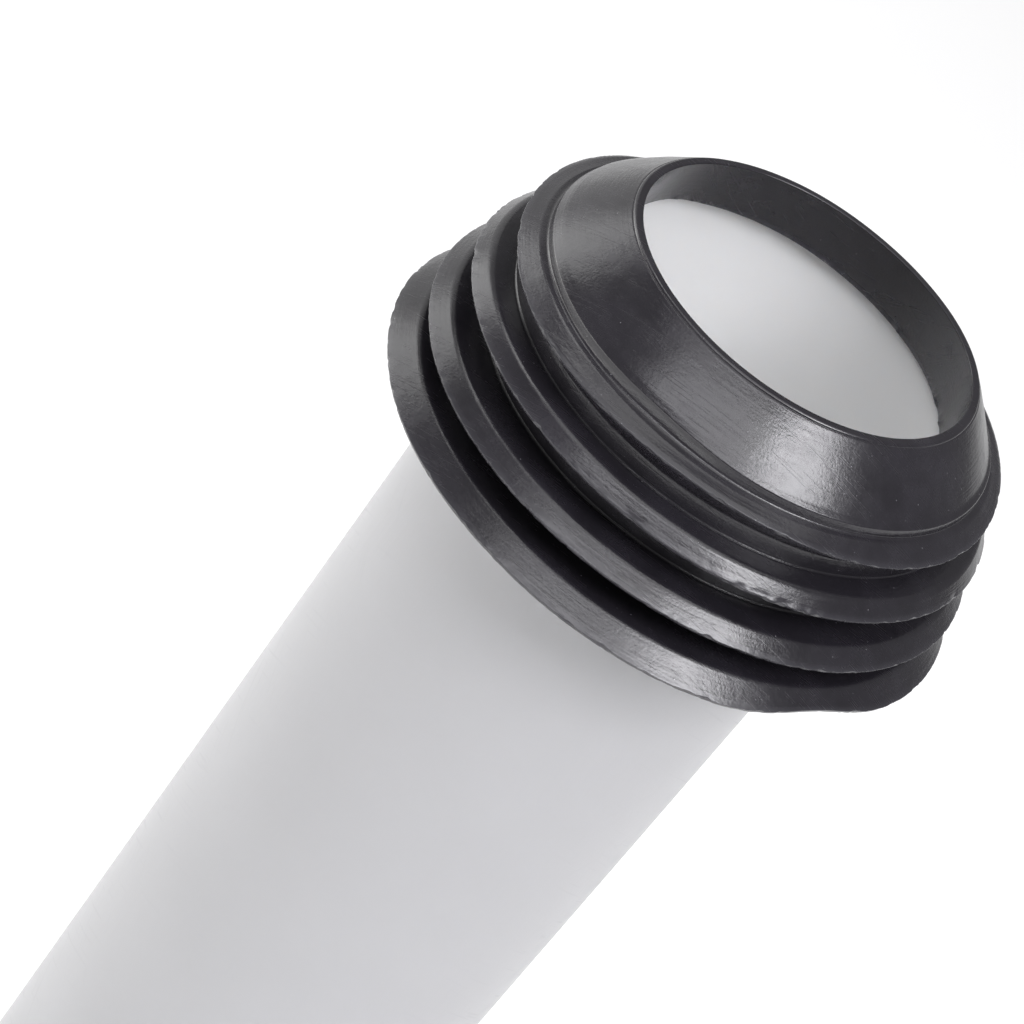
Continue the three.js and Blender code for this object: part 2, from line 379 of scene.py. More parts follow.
@dataclass(frozen=True)
class Skin:
    """What every finish here reads: millimetre coordinates of the piece, and round-the-axis ones."""

    tree: bpy.types.NodeTree
    place: Socket  # object coordinates in millimetres
    rings: Socket  # radius and height in millimetres, and a slow turn about the axis
    shader: bpy.types.Node

    @classmethod
    def start(cls, material: bpy.types.Material) -> Skin:
        """Empties a material and gives it a Principled shader and the coordinates.

        Args:
            material: the material to fill.

        Returns:
            The coordinates and the shader.
        """
        material.use_nodes = True
        tree = material.node_tree
        tree.nodes.clear()
        shader = add(tree, "ShaderNodeBsdfPrincipled")
        add(tree, "ShaderNodeOutputMaterial", {"Surface": shader.outputs["BSDF"]})
        local = add(tree, "ShaderNodeTexCoord").outputs["Object"]
        place = add(tree, "ShaderNodeVectorMath", {0: local, "Scale": 1 / MM}, operation="SCALE").outputs[0]
        axes = add(tree, "ShaderNodeSeparateXYZ", {0: place}).outputs
        flat = add(tree, "ShaderNodeVectorMath", {0: place, 1: (1.0, 1.0, 0.0)}, operation="MULTIPLY")
        radius = add(tree, "ShaderNodeVectorMath", {0: flat.outputs[0]}, operation="LENGTH").outputs["Value"]
        slow = reckon(tree, "COSINE", reckon(tree, "ARCTAN2", axes["Y"], axes["X"]))
        rings = add(tree, "ShaderNodeCombineXYZ", {"X": radius, "Y": axes["Z"], "Z": slow}).outputs[0]
        return cls(tree, place, rings, shader)

    def noise(self, size_mm: float, source: Socket | None = None, detail: float = 2.0, **more: Any) -> Socket:
        """Noise about 0.5 with features of this size, at the source or at the piece's own place."""
        wanted = {"Vector": source or self.place, "Scale": 1 / size_mm, "Detail": detail, **more}
        return add(self.tree, "ShaderNodeTexNoise", wanted).outputs[0]

    def ramp(self, value: Socket, low: float, high: float, start: float = 0.0, end: float = 1.0) -> Socket:
        """A line from start at the low level to end at the high one, held beyond them."""
        wanted = {"Value": value, "From Min": low, "From Max": high, "To Min": start, "To Max": end}
        return add(self.tree, "ShaderNodeMapRange", wanted).outputs[0]

    def sum(self, value: Socket, by: float, plus: Socket | float) -> Socket:
        """value times by, plus another."""
        return reckon(self.tree, "MULTIPLY_ADD", value, by, plus)

    def blend(
        self,
        share: Socket,
        under: Socket | tuple[float, float, float, float],
        over: tuple[float, float, float, float],
    ) -> Socket:
        """A share of one colour over another."""
        first, second, mixed = 6, 7, 2  # the node's colour sockets
        wanted = {0: share, first: under, second: over}
        return add(self.tree, "ShaderNodeMix", wanted, data_type="RGBA").outputs[mixed]

    def scratches(
        self, leans: Sequence[tuple[float, float]], width_mm: float, length_mm: float, low: float, high: float
    ) -> Socket:
        """Fine lines where thin turned sheets cut the surface.

        Args:
            leans: each family's turn about +X and about +Z, in degrees.
            width_mm: the width of a line.
            length_mm: about how long it is.
            low: the noise level where a line starts to show.
            high: the level where it shows fully.

        Returns:
            1 on the lines and 0 off them.
        """
        lines: Socket | None = None
        for tilt, turn in leans:
            rotation = (math.radians(tilt), 0.0, math.radians(turn))
            scale = (width_mm / length_mm, width_mm / length_mm, 1.0)
            turned = {"Vector": self.place, "Rotation": rotation}
            across = add(self.tree, "ShaderNodeMapping", turned).outputs[0]
            across = add(self.tree, "ShaderNodeMapping", {"Vector": across, "Scale": scale}).outputs[0]
            family = self.ramp(self.noise(width_mm, across, 0.0), low, high)
            lines = reckon(self.tree, "MAXIMUM", lines, family) if lines else family
        return lines

    def emboss(self, height: Socket, depth_mm: float, over: Socket | None = None) -> Socket:
        """A bump of the given depth between heights 0 and 1, over another bump if one is given."""
        wanted = {"Height": height, "Strength": 1.0, "Distance": depth_mm * MM}
        if over:
            wanted["Normal"] = over
        return add(self.tree, "ShaderNodeBump", wanted).outputs[0]


@dataclass(frozen=True)
class Finish(ABC):
    """A finish is named for what the real surface is, and makes one material."""

    title: str

    def material(self) -> bpy.types.Material:
        """Makes the material, or gives the one already made."""
        made = bpy.data.materials.get(self.title)
        if made is None:
            made = bpy.data.materials.new(self.title)
            self.paint(Skin.start(made))
        return made

    @abstractmethod
    def paint(self, skin: Skin) -> None:
        """Adds the finish's nodes between the coordinates and the shader."""


@dataclass(frozen=True)
class MouldedRubber(Finish):
    """Compression-moulded EPDM rubber.

    The mould's lathe marks print as fine rings, carbon black and bloom make a charcoal that is greyer in
    soft patches, and handling leaves short scratches and specks of dust.
    """

    title: str = "moulded EPDM rubber"
    colour: str = "#211f24"
    bloom: str = "#2b292f"
    dust: str = "#77767a"
    worn: str = "#3c3b40"
    roughness: tuple[float, float] = (0.13, 0.22)
    wear: float = 0.55  # how far the edges turn to the worn colour
    ring_mm: float = 0.3
    ring_height: float = 1.3  # heights are shares of the relief
    patch_mm: float = 6.0
    bloom_levels: tuple[float, float] = (0.4, 0.75)  # where a pattern starts and is full
    gloss_levels: tuple[float, float] = (0.3, 0.7)
    haze_mm: float = 1.3
    haze_height: float = 2.0
    haze_rough: float = 0.14
    grain_mm: float = 0.25
    scratch_mm: float = 0.12
    scratch_length_mm: float = 8.0
    scratch_leans: Sequence[tuple[float, float]] = ((50.0, 20.0), (44.0, 38.0), (58.0, 128.0))
    scratch_levels: tuple[float, float] = (0.72, 0.8)
    scratch_height: float = -0.2
    scratch_rough: float = 0.04
    speck_mm: float = 1.4
    speck_levels: tuple[float, float] = (0.05, 0.025)
    relief_mm: float = 0.013
    ior: float = 1.62

    def paint(self, skin: Skin) -> None:
        """Adds rings, patches, haze, grain, scratches, specks and worn edges."""
        patches = skin.noise(self.patch_mm, detail=5.0, Roughness=0.6)
        haze = skin.noise(self.haze_mm, detail=4.0, Roughness=0.65)
        rings = skin.noise(self.ring_mm, skin.rings)
        scratches = skin.scratches(
            self.scratch_leans, self.scratch_mm, self.scratch_length_mm, *self.scratch_levels
        )
        cells = {"Vector": skin.place, "Scale": 1 / self.speck_mm, "Randomness": 1.0}
        specks = add(skin.tree, "ShaderNodeTexVoronoi", cells).outputs["Distance"]
        edge = add(skin.tree, "ShaderNodeAttribute", attribute_name="edge").outputs["Fac"]

        bloomed = skin.ramp(patches, *self.bloom_levels)
        colour = skin.blend(bloomed, linear(self.colour), linear(self.bloom))
        colour = skin.blend(skin.ramp(edge, 0.0, 1.0, 0.0, self.wear), colour, linear(self.worn))
        colour = skin.blend(skin.ramp(specks, *self.speck_levels), colour, linear(self.dust))
        gloss = skin.ramp(patches, *self.gloss_levels, *self.roughness)
        rough = skin.sum(scratches, self.scratch_rough, skin.sum(haze, self.haze_rough, gloss))
        grain = skin.sum(haze, self.haze_height, skin.noise(self.grain_mm))
        height = skin.sum(rings, self.ring_height, skin.sum(scratches, self.scratch_height, grain))
        normal = skin.emboss(height, self.relief_mm)
        give(skin.shader, {"Base Color": colour, "Roughness": rough, "Normal": normal, "IOR": self.ior})


@dataclass(frozen=True)
class Plastic(Finish):
    """Polypropylene or polyethylene.

    Extrusion draws faint lines along the pipe, turning leaves fine rings, and moulding prints the mould's
    spark-eroded grain. The surface is clean and semi-gloss, with a cloudy gloss and a few rub marks.
    """

    colour: str
    cloud: str
    roughness: float = 0.34
    gloss_spread: float = 0.05  # how much rougher and smoother the clouds make it
    gloss_levels: tuple[float, float] = (0.3, 0.7)
    cloud_mm: float = 22.0
    marks: Bands = Bands.ALONG
    mark_mm: float = 0.9
    mark_stretch: float = 0.004  # width over length of a drawn line
    mark_depth_mm: float = 0.012
    grain_mm: float = 0.25
    grain_depth_mm: float = 0.004
    rub_leans: Sequence[tuple[float, float]] = ((35.0, 15.0), (-52.0, 80.0))
    rub_mm: float = 0.3
    rub_length_mm: float = 8.0
    rub_levels: tuple[float, float] = (0.7, 0.8)
    rub_rough: float = 0.12
    glow_mm: float = 2.5  # how far light goes inside it
    glow_tint: tuple[float, float, float] = (1.0, 0.97, 0.94)
    inside: str = "#fbfbfa"  # painted light: where the piece carries a bore, the bore is painted whiter than the outside, to stand in for the light that comes into the pipe
    ior: float = 1.49

    def paint(self, skin: Skin) -> None:
        """Adds clouds, draw or turning lines, rub marks and grain, and paints the bore whiter as painted
        light.
        """
        clouds = skin.noise(self.cloud_mm, detail=4.0)
        if self.marks is Bands.ALONG:
            drawn = {"Vector": skin.place, "Scale": (1.0, 1.0, self.mark_stretch)}
            lines = skin.noise(self.mark_mm, add(skin.tree, "ShaderNodeMapping", drawn).outputs[0], 3.0)
        else:
            lines = skin.noise(self.mark_mm, skin.rings, 3.0)
        rubs = skin.scratches(self.rub_leans, self.rub_mm, self.rub_length_mm, *self.rub_levels)
        smooth, matt = self.roughness - self.gloss_spread, self.roughness + self.gloss_spread
        rough = skin.ramp(clouds, *self.gloss_levels, smooth, matt)
        bump = skin.emboss(lines, self.mark_depth_mm)
        # painted light: the bore is painted a whiter copy of the plastic, for the light that reaches into the
        # pipe
        bore = add(skin.tree, "ShaderNodeAttribute", attribute_name="bore").outputs["Fac"]
        outside = skin.blend(clouds, linear(self.colour), linear(self.cloud))
        wanted = {
            "Base Color": skin.blend(bore, outside, linear(self.inside)),
            "Roughness": skin.sum(rubs, self.rub_rough, rough),
            "Normal": skin.emboss(skin.noise(self.grain_mm), self.grain_depth_mm, bump),
            "IOR": self.ior,
            "Subsurface Weight": 1.0,
            "Subsurface Radius": self.glow_tint,
            "Subsurface Scale": self.glow_mm * MM,
        }
        give(skin.shader, wanted)


RUBBER = MouldedRubber()
PIPE_PLASTIC = Plastic("extruded polypropylene", "#b9b9bb", "#c1c1c3")
NUT_PLASTIC = Plastic(
    "moulded polypropylene",
    "#bfbfbb",
    "#cacac6",
    roughness=0.42,
    marks=Bands.ROUND,
    mark_mm=1.6,
    grain_depth_mm=0.02,
    glow_mm=1.5,
)
RING_PLASTIC = Plastic(
    "turned polyethylene", "#b4bdb6", "#c2c9c4", marks=Bands.ROUND, mark_mm=0.35, glow_mm=1.5
)


# ---- pieces ----


@dataclass
class FlushPipe(TurnedPiece):
    """The straight pipe: a chamfer at the cistern end, and broken edges."""

    radius: float
    length: float
    wall: float = 2.2
    outside_share: float = 0.6  # of the wall, that keeps the outside's colour; the rest, towards the bore, is painted whiter as painted light
    lead_length: float = 4.0
    lead_depth: float = 1.0
    lead_edge: float = 0.25  # roundings
    lead_blend: float = 3.0
    broken_edge: float = 0.4
    name: str = "pipe"
    stands_for: str = "flush_pipe"
    body: str = "pipe"
    slot: str = "pipe_plastic"
    segments: int = 360
    # the bore is carried so that the finish can paint it whiter, as painted light
    painted: tuple[str, ...] = ("bore",)

    def outline(self) -> Outline:
        """The wall, from the bore's lower end round to its upper end."""
        bore = self.radius - self.wall
        edge = self.broken_edge
        return Outline(
            [
                Corner(bore, 0.0, edge, step=1.0),
                Corner(self.radius - self.lead_depth, 0.0, self.lead_edge, step=1.0),
                Corner(self.radius, self.lead_length, self.lead_blend, step=8.0),
                Corner(self.radius, self.length, edge, step=1.0),
                Corner(bore, self.length, edge, step=8.0),
            ]
        )

    def carried(self, point: Vector) -> dict[str, float]:
        """1 on the bore, which the finish paints whiter as painted light, and 0 outside."""
        return {"bore": float(point.x < self.radius - self.outside_share * self.wall)}

    def material(self) -> bpy.types.Material:
        """Extruded polypropylene."""
        return PIPE_PLASTIC.material()


@dataclass(frozen=True)
class Fin:
    """One fin of the seal. It has taken a slight set, so its edge rises and falls round the seal."""

    reach: float  # out of the sleeve
    depth: float  # of its edge under the mouth
    band: float  # width of the sloping band at its edge
    drop: float  # how far that band drops
    shoulder: float  # rounding between the flat top and the band
    sway: float = 0.1
    lobes: int = 2
    crest: float = 0.0  # where about the axis it stands highest, in degrees


@dataclass(frozen=True)
class Lump:
    """A place where the rubber is pushed out of shape."""

    at: float  # about the axis, in degrees
    spread: float  # in degrees
    r: float  # where on the outline
    z: float
    reach: float  # along the outline
    out: float  # how far it goes
    up: float


@dataclass
class PanSeal(TurnedPiece):
    """The rubber seal: nose, mouth, the step that the pipe's end meets, a gripping sleeve and four fins."""

    pipe_radius: float
    mouth: float  # height of the mouth
    tail: float  # height of the sleeve's lower end
    grip_gap: float = RUBBER_GAP
    sleeve_wall: float = 3.15
    mouth_inset: float = 3.9
    bore_edge: float = 0.12  # rounding
    rim_width: float = 0.95
    rim_edge: float = 0.3  # rounding
    rim_foot: tuple[float, float] = (0.06, 0.28)  # past the rim, and under the mouth
    nose_top: tuple[float, float] = (0.17, 0.3)
    nose_bulge: float = 0.12
    nose_curve: float = 60.0  # rounding of the bulge
    nose_foot: tuple[float, float] = (25.1, 5.85)  # radius, and depth under the mouth
    foot_edge: float = 0.3  # rounding
    first_shelf: tuple[float, float] = (25.9, 7.0)
    shelf_start: tuple[float, float] = (0.02, 0.12)  # past the nose's foot, and over the shelf
    stop_depth: float = 6.1
    stop_inset: float = 3.35
    shift: float = 0.8  # how far the seal sits towards +X
    lean: float = 0.7  # how many degrees it leans
    lean_fade: float = 4.0  # the depth in the mouth where the lean ends
    fin_root: float = 2.0
    fin_edge: float = 0.35
    fin_middle: float = 1.2  # over its edge
    sway_start: float = 0.3  # inside the sleeve
    flash_top: float = 0.24  # the mould's flash line stands over each lower fin
    flash_crest: float = 0.13
    flash_reach: float = 0.1
    beads: int = 3
    bead_length: float = 2.0
    bead_slope: float = 0.8
    bead_edge: float = 0.3  # rounding
    bore_relief: float = 0.5
    wear_reach: float = 0.45
    stop_wear: float = 1.6  # times that of the fins' edges
    stop_wear_reach: float = 0.4
    ripple_pace: float = 0.09  # waves in a millimetre
    nick_levels: tuple[float, float] = (0.5, 0.75)  # of the noise, where a nick starts and is full
    nick_lift: float = 0.5  # up, for each millimetre in
    fins: Sequence[Fin] = (
        Fin(1.83, 8.0, 0.5, 0.32, 2.0, sway=0.5, lobes=3, crest=-82.0),
        Fin(3.97, 13.55, 1.3, 1.6, 0.9, sway=0.25, lobes=2, crest=-115.0),
        Fin(5.43, 19.25, 1.8, 1.6, 0.9, sway=0.15, lobes=3, crest=-85.0),
        Fin(6.94, 24.85, 2.4, 2.1, 0.9, sway=0.1, lobes=4, crest=-10.0),
    )
    lumps: Sequence[Lump] = (
        Lump(-38.0, 11.0, 32.7, -24.9, 1.3, -0.7, 0.75),
        Lump(-180.0, 22.0, 32.7, -24.9, 3.0, 0.3, 0.1),
        Lump(30.0, 28.0, 19.0, 0.0, 5.0, 0.3, 0.0),
        Lump(-97.0, 20.0, 25.1, -6.0, 0.9, -0.4, 0.4),
        Lump(152.0, 14.0, 19.15, -6.1, 0.6, 0.0, 0.35),
    )
    name: str = "finned_seal"
    stands_for: str = "pan_seal"
    body: str = "seal"
    slot: str = "seal_rubber"
    segments: int = 512
    painted: tuple[str, ...] = ("edge",)
    settings: dict[str, tuple[str, float]] = field(
        default_factory=lambda: {
            "Ripple": ("NodeSocketFloat", 0.12),
            "Nicks": ("NodeSocketFloat", 0.24),
            "Nick Length": ("NodeSocketFloat", 1.6),
        }
    )

    @property
    def sleeve(self) -> float:
        """Radius of the sleeve between the fins."""
        return self.pipe_radius + self.grip_gap + self.sleeve_wall

    @property
    def stop_radius(self) -> float:
        """Inner radius of the step that the pipe's end meets."""
        return self.pipe_radius - self.stop_inset

    def edge_of(self, fin: Fin) -> Vector:
        """Radius and height of a fin's edge."""
        return Vector((self.sleeve + fin.reach, self.mouth - fin.depth))

    def outline(self) -> Outline:
        """Goes from the stop over the rim, down the nose and fins and up the socket, and turns that round.

        Returns:
            The closed outline.
        """
        bore = self.pipe_radius - self.mouth_inset
        rim = bore + self.rim_width
        stop = self.mouth - self.stop_depth
        shelf = self.mouth - self.first_shelf[1]
        foot = Vector((self.nose_foot[0], self.mouth - self.nose_foot[1]))
        lip = Vector((rim + self.nose_top[0], self.mouth - self.nose_top[1]))
        middle = (foot + lip) / 2 + Vector((self.nose_bulge, self.nose_bulge))
        down = [
            Corner(self.stop_radius, stop, self.bore_edge, step=1.0),
            Corner(bore, self.mouth, self.bore_edge, step=0.5),
            Corner(rim, self.mouth, self.rim_edge, step=0.5),
            Corner(rim + self.rim_foot[0], self.mouth - self.rim_foot[1], 0.05, step=0.5),
            Corner(lip.x, lip.y, 0.08, step=1.0),
            Corner(middle.x, middle.y, self.nose_curve, step=1.0),
            Corner(foot.x, foot.y, self.foot_edge, step=0.5),
            Corner(foot.x + self.shelf_start[0], shelf + self.shelf_start[1], self.foot_edge, step=0.5),
            Corner(self.first_shelf[0], shelf, 0.5, step=0.5),
        ]
        for fin in self.fins:
            edge = self.edge_of(fin)
            top = edge.y + fin.drop
            if fin is not self.fins[0]:
                down += [
                    Corner(self.sleeve, top + self.flash_top, step=0.3),
                    Corner(self.sleeve + self.flash_reach, top + self.flash_crest, 0.04, step=0.3),
                    Corner(self.sleeve, top, step=1.2),
                ]
            down += [
                Corner(edge.x - fin.band, top, fin.shoulder, step=0.6),
                Corner(edge.x, edge.y, 0.07, step=0.3),
                Corner(edge.x - self.fin_edge / 2, edge.y - self.fin_edge, 0.1, step=1.2),
                Corner(self.sleeve, top - self.fin_root, 0.35, step=1.4),
            ]
        down.append(Corner(self.sleeve, self.tail, 0.4, step=1.4))
        return Outline([*reversed([*down, *self._socket(stop)])])

    def _socket(self, stop: float) -> Iterator[Corner]:
        """Sets raised beads on a relieved bore.

        Args:
            stop: the height where the socket ends.

        Yields:
            Its corners, from the tail up.
        """
        grip = self.pipe_radius + self.grip_gap
        last = self.beads - 1
        pitch = (stop - self.tail - self.bead_length) / last
        for i in range(self.beads):
            low = self.tail + i * pitch
            high = low + self.bead_length
            yield Corner(grip, low, self.bead_edge)
            yield Corner(grip, high, self.bead_edge if i < last else 0.1)
            if i < last:
                yield Corner(grip + self.bore_relief, high + self.bead_slope, self.bead_edge)
                yield Corner(grip + self.bore_relief, low + pitch - self.bead_slope, self.bead_edge)

    def carried(self, point: Vector) -> dict[str, float]:
        """Works out how much of each pull a point takes.

        Args:
            point: its radius and height.

        Returns:
            How near a worn edge it is, how its fin sways, how it sits askew, and its share of each lump.
        """
        fin = min(self.fins, key=lambda fin: abs(self.edge_of(fin).y + self.fin_middle - point.y))
        share = (point.x - self.sleeve + self.sway_start) / (fin.reach + self.sway_start)
        share = min(1.0, max(0.0, share))

        def nearness(r: float, z: float, reach: float) -> float:
            """1 at a place on the outline, falling to 0 round it."""
            return math.exp(-(((point - Vector((r, self.mouth + z))).length / reach) ** 2))

        inside = point.x < self.sleeve - 1.0
        under = self.mouth - point.y
        # what grips the pipe stays true to it
        gripping = inside and under > self.stop_depth - 0.2 and point.x > self.stop_radius + 1.0
        edges = [nearness(self.edge_of(f).x, -f.depth, self.wear_reach) for f in self.fins]
        stop = nearness(self.stop_radius, -self.stop_depth, self.stop_wear_reach)
        leaning = max(0.0, 1 - under / self.lean_fade) if inside else 1.0
        lumps = {f"lump {i}": nearness(a.r, a.z, a.reach) for i, a in enumerate(self.lumps)}
        return {
            "edge": max(*edges, self.stop_wear * stop),
            "sway": fin.sway * share * share * (3 - 2 * share),
            "lobes": float(fin.lobes),
            "crest": math.radians(fin.crest),
            "shift": 0.0 if gripping else self.shift,
            "lean": math.tan(math.radians(self.lean)) * leaning,
            **lumps,
        }

    def relief(self, at: Around) -> tuple[Socket, Socket]:
        """Sets the seal askew, sways and ripples the fins, nicks their edges and adds the lumps.

        Args:
            at: the sockets of the shell's points.

        Returns:
            How far each point moves out and up, in millimetres.
        """
        tree = at.tree
        calc = partial(reckon, tree)
        turned = calc("SUBTRACT", at.angle, at.value("crest"))
        wave = calc("COSINE", calc("MULTIPLY", turned, at.value("lobes")))
        sides = [calc("MULTIPLY", calc(way, at.angle), at.radius) for way in ("COSINE", "SINE")]
        spot = add(tree, "ShaderNodeCombineXYZ", {"X": sides[0], "Y": sides[1], "Z": at.height}).outputs[0]
        slow = {"Vector": spot, "Scale": self.ripple_pace, "Detail": 1.0}
        ripple = calc("SUBTRACT", add(tree, "ShaderNodeTexNoise", slow).outputs[0], 0.5)
        pace = calc("DIVIDE", 1.0, at.setting("Nick Length"))
        fine = {"Vector": spot, "Scale": pace, "Detail": 3.0, "Roughness": 0.7}
        nicks = at.rise(add(tree, "ShaderNodeTexNoise", fine).outputs[0], *self.nick_levels)
        depth = calc("MULTIPLY", at.setting("Nicks"), at.value("edge"))
        bite = calc("MULTIPLY", nicks, depth)

        out = calc("MULTIPLY", calc("COSINE", at.angle), at.value("shift"))
        out = calc("SUBTRACT", out, bite)
        up = calc("MULTIPLY", wave, at.value("sway"))
        up = calc("MULTIPLY_ADD", sides[0], at.value("lean"), up)
        up = calc("MULTIPLY_ADD", ripple, at.setting("Ripple"), up)
        up = calc("MULTIPLY_ADD", bite, self.nick_lift, up)
        for i, lump in enumerate(self.lumps):
            off = calc("SUBTRACT", at.angle, math.radians(lump.at))
            near = calc("SUBTRACT", calc("COSINE", off), 1.0)  # a bell that closes round the axis
            near = calc("EXPONENT", calc("MULTIPLY", near, 2 / math.radians(lump.spread) ** 2))
            near = calc("MULTIPLY", near, at.value(f"lump {i}"))
            out = calc("MULTIPLY_ADD", near, lump.out, out)
            up = calc("MULTIPLY_ADD", near, lump.up, up)
        return out, up

    def material(self) -> bpy.types.Material:
        """Moulded rubber."""
        return RUBBER.material()


@dataclass
class CouplingNut(TurnedPiece):
    """The coupling nut: a turned body with grip ribs outside and a screw thread inside."""

    pipe_radius: float
    height: float
    thread_root: float = 29.807
    thread_depth: float = 1.479
    thread_pitch: float = 2.309
    thread_turns: float = 4.55
    thread_start: float = 0.0083  # of a turn, about the axis
    thread_fade: float = 0.4  # the turns over which it rises and sinks
    thread_lead: float = 1.6
    thread_foot: float = 1.94
    thread_crest: float = 0.5
    mouth_cone: tuple[float, float] = (0.6, 0.8)  # outwards, and up
    wall: float = 3.2
    shoulder: float = 3.5
    clearance: float = LOOSE_GAP
    chamfer: float = 1.4
    rib_height: float = 1.3
    name: str = "nut"
    stands_for: str = "coupling_nut"
    body: str = "nut"
    slot: str = "nut_plastic"
    segments: int = 576
    settings: dict[str, tuple[str, float]] = field(
        default_factory=lambda: {
            "Ribs": ("NodeSocketInt", 24),
            "Rib Share": ("NodeSocketFloat", 0.42),
            "Flank Share": ("NodeSocketFloat", 0.08),
        }
    )

    @property
    def outside(self) -> float:
        """Radius of the valleys between the ribs."""
        return self.thread_root + self.wall

    @property
    def top_chamfer(self) -> float:
        """The chamfer of the ribs at the shoulder."""
        return 1.5 * self.chamfer

    def envelope(self, z: float) -> float:
        """Radius that the ribs' tops keep to at a height, with a chamfer at each end."""
        cuts = (self.chamfer - z, z - self.height + self.top_chamfer, 0.0)
        return self.outside + self.rib_height - max(cuts)

    def outline(self) -> Outline:
        """Goes up the outside, in over the shoulder's flange, and down the threaded bore.

        Returns:
            The closed outline, without ribs or thread.
        """
        bore = self.pipe_radius + self.clearance
        flange = self.height - self.shoulder
        root = self.thread_root
        screw_end = self.thread_lead + self.thread_foot + self.thread_turns * self.thread_pitch
        valley_end = self.height - (self.rib_height + 0.1 * self.chamfer)
        return Outline(
            [
                Corner(root + self.mouth_cone[0], 0.0, 0.3, step=0.8),
                Corner(self.envelope(0.0), 0.0, 0.2, step=0.3),
                Corner(self.outside, 0.15, step=0.25),
                Corner(self.outside, self.chamfer, step=1.2),
                Corner(self.outside, self.height - self.top_chamfer, step=0.25),
                Corner(self.outside, valley_end, 0.2, step=0.4),
                Corner(self.envelope(self.height), self.height, 0.3, step=1.5),
                Corner(bore, self.height, 0.4, step=1.2),
                Corner(bore, flange, 0.25, step=1.2),
                Corner(root, flange, 0.4, step=1.2),
                Corner(root, screw_end + 0.3, step=0.16),
                Corner(root, self.mouth_cone[1], 0.2, step=0.3),
            ]
        )

    def carried(self, point: Vector) -> dict[str, float]:
        """Works out where ribs and thread may stand.

        Args:
            point: its radius and height.

        Returns:
            How far ribs stand out there, and 1 where the thread stands in.
        """
        margin, sliver, touch = 0.6, 0.05, 0.01
        on_outside = point.x > self.outside - margin and sliver < point.y < self.height - sliver
        on_thread = abs(point.x - self.thread_root) < touch and point.y < self.height - self.shoulder - margin
        room = self.envelope(point.y) - point.x if on_outside else 0.0
        return {"rise": min(self.rib_height, max(0.0, room)), "screw": float(on_thread)}

    def relief(self, at: Around) -> tuple[Socket, float]:
        """Ribs by the angle outside, and a helical ridge by angle and height inside.

        Args:
            at: the sockets of the shell's points.

        Returns:
            How far each point moves out, in millimetres, and 0 for up.
        """
        calc = partial(reckon, at.tree)
        turn = calc("DIVIDE", at.angle, TURN)
        half = calc("MULTIPLY", at.setting("Rib Share"), 0.5)
        along = calc("SUBTRACT", calc("MULTIPLY", turn, at.setting("Ribs")), half)
        off_rib = calc("ABSOLUTE", calc("SUBTRACT", along, calc("ROUND", along)))
        foot = calc("ADD", half, at.setting("Flank Share"))
        rib = calc("MULTIPLY", at.rise(off_rib, foot, half, "SMOOTHSTEP"), at.value("rise"))

        start = self.thread_lead + self.thread_foot / 2
        behind = self.thread_start - start / self.thread_pitch
        climb = calc("MULTIPLY_ADD", at.height, 1 / self.thread_pitch, behind)
        offset = calc("SUBTRACT", climb, turn)
        lap = calc("ROUND", offset)
        away = calc("MULTIPLY", calc("ABSOLUTE", calc("SUBTRACT", offset, lap)), self.thread_pitch)
        turns = calc("ADD", turn, lap)
        ridge = at.rise(away, self.thread_foot / 2, self.thread_crest / 2)
        end = self.thread_turns
        for low, high in ((0.0, self.thread_fade), (end, end - self.thread_fade)):
            ridge = calc("MULTIPLY", ridge, at.rise(turns, low, high))
        ridge = calc("MULTIPLY", ridge, at.value("screw"))
        return calc("MULTIPLY_ADD", ridge, -self.thread_depth, rib), 0.0

    def material(self) -> bpy.types.Material:
        """Moulded polypropylene."""
        return NUT_PLASTIC.material()


@dataclass
class SlipRing(TurnedPiece):
    """The flat ring that the nut turns on, so that it doesn't drag the washer round."""

    bore: float
    outside: float
    bottom: float
    top: float
    broken_edge: float = 0.25
    name: str = "ring"
    stands_for: str = "slip_ring"
    body: str = "ring"
    slot: str = "ring_plastic"

    def outline(self) -> Outline:
        """A flat section with broken edges."""
        inner, outer, low, high = self.bore, self.outside, self.bottom, self.top
        corners = ((inner, low), (outer, low), (outer, high), (inner, high))
        return Outline([Corner(r, z, self.broken_edge, step=1.2) for r, z in corners])

    def material(self) -> bpy.types.Material:
        """Turned polyethylene."""
        return RING_PLASTIC.material()


@dataclass
class ConeWasher(TurnedPiece):
    """The tapered rubber washer that the nut squeezes against the pipe."""

    bore: float
    outside: float
    bottom: float
    top: float
    toe: float = 1.6
    band: float = 3.0
    wear: float = 0.5
    wear_reach: float = 0.5
    name: str = "washer"
    stands_for: str = "cone_washer"
    body: str = "washer"
    slot: str = "seal_rubber"
    segments: int = 288
    painted: tuple[str, ...] = ("edge",)

    def outline(self) -> Outline:
        """Thin at the bottom, with a straight band at the top."""
        return Outline(
            [
                Corner(self.bore, self.bottom, 0.3, step=0.8),
                Corner(self.bore + self.toe, self.bottom, 0.4, step=1.2),
                Corner(self.outside, self.top - self.band, 0.6, step=1.0),
                Corner(self.outside, self.top, 0.35, step=1.2),
                Corner(self.bore, self.top, 0.3, step=1.5),
            ]
        )

    def carried(self, point: Vector) -> dict[str, float]:
        """A little wear at the rim of the band."""
        away = (point - Vector((self.outside, self.top))).length / self.wear_reach
        return {"edge": self.wear * math.exp(-(away**2))}

    def material(self) -> bpy.types.Material:
        """Moulded rubber."""
        return RUBBER.material()


# ---- studio ----


